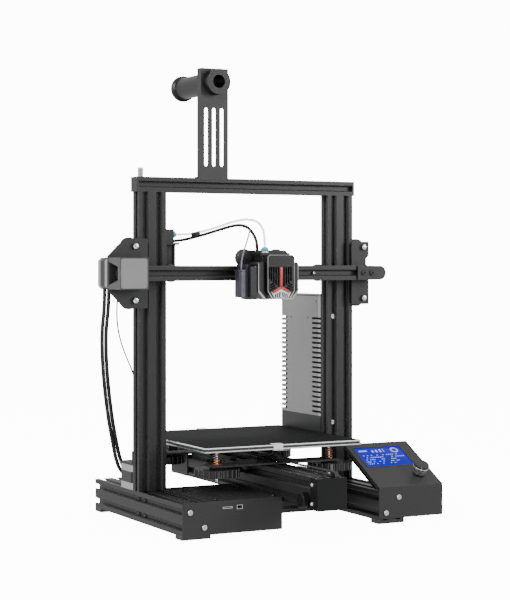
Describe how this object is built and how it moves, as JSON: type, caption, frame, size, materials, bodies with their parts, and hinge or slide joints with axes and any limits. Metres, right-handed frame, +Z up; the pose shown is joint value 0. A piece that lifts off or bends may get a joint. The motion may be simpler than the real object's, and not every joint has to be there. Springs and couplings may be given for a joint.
{
  "type": "fdm printer",
  "caption": "Open-frame filament 3-D printer with a sliding heated bed, a rising cross beam with a travelling print head, a tilted control panel and a spool holder on top.",
  "frame": {"origin": "middle of the whole machine's footprint, at floor level", "axes": "+Z up, +X to the machine's right seen from the front, +Y from the front to the back"},
  "size_m": [0.4395, 0.4397, 0.6146],
  "materials": {
    "frame_black": "black anodised extruded aluminium, satin",
    "black_sheet": "black powder-coated sheet metal",
    "black_plastic": "moulded black plastic",
    "black_gloss": "glossy black rocker",
    "grey_plastic": "dark grey moulded plastic",
    "screw_steel": "bright steel",
    "circuit_board": "green circuit board with black components",
    "supply_case": "grey slotted sheet steel",
    "motor_black": "laminated black core between bare metal caps",
    "belt_rubber": "toothed rubber belt",
    "cable_black": "black sleeved cable",
    "tube_white": "translucent white tube",
    "bed_aluminium": "bare aluminium",
    "build_glass": "black textured build surface",
    "spring_steel": "sprung steel",
    "feeder_metal": "dark anodised feeder",
    "probe_white": "pale violet-grey plastic",
    "brass_metal": "turned brass",
    "wheel_black": "black rolling wheel",
    "knurl_black": "black thumb wheel"
  },
  "bodies": {
    "machine_frame": {"base_frame": "frame_black", "y_rail": "frame_black", "upper_frame": "frame_black", "feet_and_caps": "black_plastic", "frame_screws": "screw_steel", "control_tray": "black_sheet", "control_lid": "black_sheet", "circuit_boards": "circuit_board", "psu_case": "supply_case", "psu_cover": "black_plastic", "lcd_housing": "black_sheet", "y_tensioner": "black_plastic", "frame_motors": "motor_black", "motor_brackets": "black_sheet", "y_belt": "belt_rubber", "spool_holder": "black_sheet", "gantry_cable": "cable_black"},
    "bed": {"y_carriage": "black_sheet", "bed_plate": "bed_aluminium", "build_surface": "build_glass", "bed_hardware": "spring_steel"},
    "gantry": {"x_beam": "frame_black", "z_plate_left": "black_sheet", "z_plate_right": "black_sheet", "gantry_motors": "motor_black", "x_motor_cover": "grey_plastic", "x_belt": "belt_rubber", "extruder_body": "feeder_metal", "bowden_tube": "tube_white"},
    "tool_head": {"x_plate": "black_sheet", "shroud": "black_sheet", "hotend": "bed_aluminium", "blower": "black_plastic", "probe": "probe_white", "hotend_harness": "cable_black"},
    "y_wheel_front_left": {"y_wheel_front_left": "wheel_black"},
    "y_wheel_front_right": {"y_wheel_front_right": "wheel_black"},
    "y_wheel_rear_left": {"y_wheel_rear_left": "wheel_black"},
    "y_wheel_rear_right": {"y_wheel_rear_right": "wheel_black"},
    "z_wheel_left_outer_top": {"z_wheel_left_outer_top": "wheel_black"},
    "z_wheel_left_outer_bottom": {"z_wheel_left_outer_bottom": "wheel_black"},
    "z_wheel_left_inner": {"z_wheel_left_inner": "wheel_black"},
    "z_wheel_right_outer_top": {"z_wheel_right_outer_top": "wheel_black"},
    "z_wheel_right_outer_bottom": {"z_wheel_right_outer_bottom": "wheel_black"},
    "z_wheel_right_inner": {"z_wheel_right_inner": "wheel_black"},
    "x_wheel_top_left": {"x_wheel_top_left": "wheel_black"},
    "x_wheel_top_right": {"x_wheel_top_right": "wheel_black"},
    "x_wheel_bottom": {"x_wheel_bottom": "wheel_black"},
    "y_drive_pulley": {"y_drive_pulley": "brass_metal"},
    "x_drive_pulley": {"x_drive_pulley": "brass_metal"},
    "lead_screw": {"lead_screw": "screw_steel"},
    "levelling_wheel_front_left": {"levelling_wheel_front_left": "knurl_black"},
    "levelling_wheel_rear_left": {"levelling_wheel_rear_left": "knurl_black"},
    "levelling_wheel_front_right": {"levelling_wheel_front_right": "knurl_black"},
    "levelling_wheel_rear_right": {"levelling_wheel_rear_right": "knurl_black"},
    "lcd_knob": {"lcd_knob": "black_plastic"},
    "hotend_fan": {"hotend_fan": "black_plastic"},
    "probe_pin": {"probe_pin": "screw_steel"},
    "extruder_lever": {"extruder_lever": "feeder_metal"},
    "psu_switch": {"psu_switch": "black_gloss"}
  },
  "joints": [
    {"name": "bed_slide", "type": "slide", "parent": "machine_frame", "child": "bed", "axis": [0, 1, 0], "range_m": [-0.181, 0.039]},
    {"name": "gantry_slide", "type": "slide", "parent": "machine_frame", "child": "gantry", "axis": [0, 0, 1], "range_m": [-0.1894, 0.06], "deforming": ["gantry_cable"]},
    {"name": "head_slide", "type": "slide", "parent": "gantry", "child": "tool_head", "axis": [1, 0, 0], "range_m": [-0.11, 0.11], "deforming": ["bowden_tube", "hotend_harness"]},
    {"name": "y_wheel_front_left_spin", "type": "hinge", "parent": "bed", "child": "y_wheel_front_left", "pos_m": [-0.03622, -0.0045, 0.07], "axis": [0, 0, 1], "continuous": true},
    {"name": "y_wheel_front_right_spin", "type": "hinge", "parent": "bed", "child": "y_wheel_front_right", "pos_m": [0.02522, -0.0045, 0.07], "axis": [0, 0, 1], "continuous": true},
    {"name": "y_wheel_rear_left_spin", "type": "hinge", "parent": "bed", "child": "y_wheel_rear_left", "pos_m": [-0.03622, 0.0595, 0.07], "axis": [0, 0, 1], "continuous": true},
    {"name": "y_wheel_rear_right_spin", "type": "hinge", "parent": "bed", "child": "y_wheel_rear_right", "pos_m": [0.02522, 0.0595, 0.07], "axis": [0, 0, 1], "continuous": true},
    {"name": "z_wheel_left_outer_top_spin", "type": "hinge", "parent": "gantry", "child": "z_wheel_left_outer_top", "pos_m": [-0.18122, 0.0185, 0.372], "axis": [0, 1, 0], "continuous": true},
    {"name": "z_wheel_left_outer_bottom_spin", "type": "hinge", "parent": "gantry", "child": "z_wheel_left_outer_bottom", "pos_m": [-0.18122, 0.0185, 0.3], "axis": [0, 1, 0], "continuous": true},
    {"name": "z_wheel_left_inner_spin", "type": "hinge", "parent": "gantry", "child": "z_wheel_left_inner", "pos_m": [-0.11978, 0.0185, 0.336], "axis": [0, 1, 0], "continuous": true},
    {"name": "z_wheel_right_outer_top_spin", "type": "hinge", "parent": "gantry", "child": "z_wheel_right_outer_top", "pos_m": [0.17022, 0.0185, 0.372], "axis": [0, 1, 0], "continuous": true},
    {"name": "z_wheel_right_outer_bottom_spin", "type": "hinge", "parent": "gantry", "child": "z_wheel_right_outer_bottom", "pos_m": [0.17022, 0.0185, 0.3], "axis": [0, 1, 0], "continuous": true},
    {"name": "z_wheel_right_inner_spin", "type": "hinge", "parent": "gantry", "child": "z_wheel_right_inner", "pos_m": [0.10878, 0.0185, 0.336], "axis": [0, 1, 0], "continuous": true},
    {"name": "x_wheel_top_left_spin", "type": "hinge", "parent": "tool_head", "child": "x_wheel_top_left", "pos_m": [-0.025, -0.0129, 0.35672], "axis": [0, 1, 0], "continuous": true},
    {"name": "x_wheel_top_right_spin", "type": "hinge", "parent": "tool_head", "child": "x_wheel_top_right", "pos_m": [0.025, -0.0129, 0.35672], "axis": [0, 1, 0], "continuous": true},
    {"name": "x_wheel_bottom_spin", "type": "hinge", "parent": "tool_head", "child": "x_wheel_bottom", "pos_m": [0, -0.0129, 0.31528], "axis": [0, 1, 0], "continuous": true},
    {"name": "y_drive_pulley_spin", "type": "hinge", "parent": "machine_frame", "child": "y_drive_pulley", "pos_m": [0.0045, 0.1985, 0.0802], "axis": [1, 0, 0], "continuous": true},
    {"name": "x_drive_pulley_spin", "type": "hinge", "parent": "gantry", "child": "x_drive_pulley", "pos_m": [-0.198, -0.0129, 0.336], "axis": [0, 1, 0], "continuous": true},
    {"name": "lead_screw_spin", "type": "hinge", "parent": "machine_frame", "child": "lead_screw", "pos_m": [-0.15, 0.0505, 0.2], "axis": [0, 0, 1], "continuous": true},
    {"name": "levelling_wheel_front_left_spin", "type": "hinge", "parent": "bed", "child": "levelling_wheel_front_left", "pos_m": [-0.0872, -0.0575, 0.074], "axis": [0, 0, 1], "continuous": true},
    {"name": "levelling_wheel_rear_left_spin", "type": "hinge", "parent": "bed", "child": "levelling_wheel_rear_left", "pos_m": [-0.0872, 0.1125, 0.074], "axis": [0, 0, 1], "continuous": true},
    {"name": "levelling_wheel_front_right_spin", "type": "hinge", "parent": "bed", "child": "levelling_wheel_front_right", "pos_m": [0.0828, -0.0575, 0.074], "axis": [0, 0, 1], "continuous": true},
    {"name": "levelling_wheel_rear_right_spin", "type": "hinge", "parent": "bed", "child": "levelling_wheel_rear_right", "pos_m": [0.0828, 0.1125, 0.074], "axis": [0, 0, 1], "continuous": true},
    {"name": "lcd_knob_turn", "type": "hinge", "parent": "machine_frame", "child": "lcd_knob", "pos_m": [0.196, -0.11124, 0.06824], "axis": [0, -0.4695, 0.8829], "continuous": true},
    {"name": "hotend_fan_spin", "type": "hinge", "parent": "tool_head", "child": "hotend_fan", "pos_m": [0, -0.0655, 0.332], "axis": [0, 1, 0], "continuous": true},
    {"name": "probe_pin_slide", "type": "slide", "parent": "tool_head", "child": "probe_pin", "axis": [0, 0, -1], "range_m": [0, 0.005]},
    {"name": "extruder_lever_hinge", "type": "hinge", "parent": "gantry", "child": "extruder_lever", "pos_m": [-0.1352, 0.0838, 0.389], "axis": [0, 0, 1], "range_deg": [0, 8], "stiffness_Nm_per_rad": 0.6},
    {"name": "psu_switch_rock", "type": "hinge", "parent": "machine_frame", "child": "psu_switch", "pos_m": [0.149, 0.0757, 0.111], "axis": [0, 1, 0], "range_deg": [-12, 12]}
  ],
  "couplings": [
    {"joint": "y_wheel_front_left_spin", "follows": "bed_slide", "rad_per_m": -97.087},
    {"joint": "y_wheel_front_right_spin", "follows": "bed_slide", "rad_per_m": 97.087},
    {"joint": "y_wheel_rear_left_spin", "follows": "bed_slide", "rad_per_m": -97.087},
    {"joint": "y_wheel_rear_right_spin", "follows": "bed_slide", "rad_per_m": 97.087},
    {"joint": "z_wheel_left_outer_top_spin", "follows": "gantry_slide", "rad_per_m": 97.087},
    {"joint": "z_wheel_left_outer_bottom_spin", "follows": "gantry_slide", "rad_per_m": 97.087},
    {"joint": "z_wheel_left_inner_spin", "follows": "gantry_slide", "rad_per_m": -97.087},
    {"joint": "z_wheel_right_outer_top_spin", "follows": "gantry_slide", "rad_per_m": -97.087},
    {"joint": "z_wheel_right_outer_bottom_spin", "follows": "gantry_slide", "rad_per_m": -97.087},
    {"joint": "z_wheel_right_inner_spin", "follows": "gantry_slide", "rad_per_m": 97.087},
    {"joint": "x_wheel_top_left_spin", "follows": "head_slide", "rad_per_m": 97.087},
    {"joint": "x_wheel_top_right_spin", "follows": "head_slide", "rad_per_m": 97.087},
    {"joint": "x_wheel_bottom_spin", "follows": "head_slide", "rad_per_m": -97.087},
    {"joint": "y_drive_pulley_spin", "follows": "bed_slide", "rad_per_m": -196.35},
    {"joint": "x_drive_pulley_spin", "follows": "head_slide", "rad_per_m": 196.35},
    {"joint": "lead_screw_spin", "follows": "gantry_slide", "rad_per_m": -785.4}
  ]
}
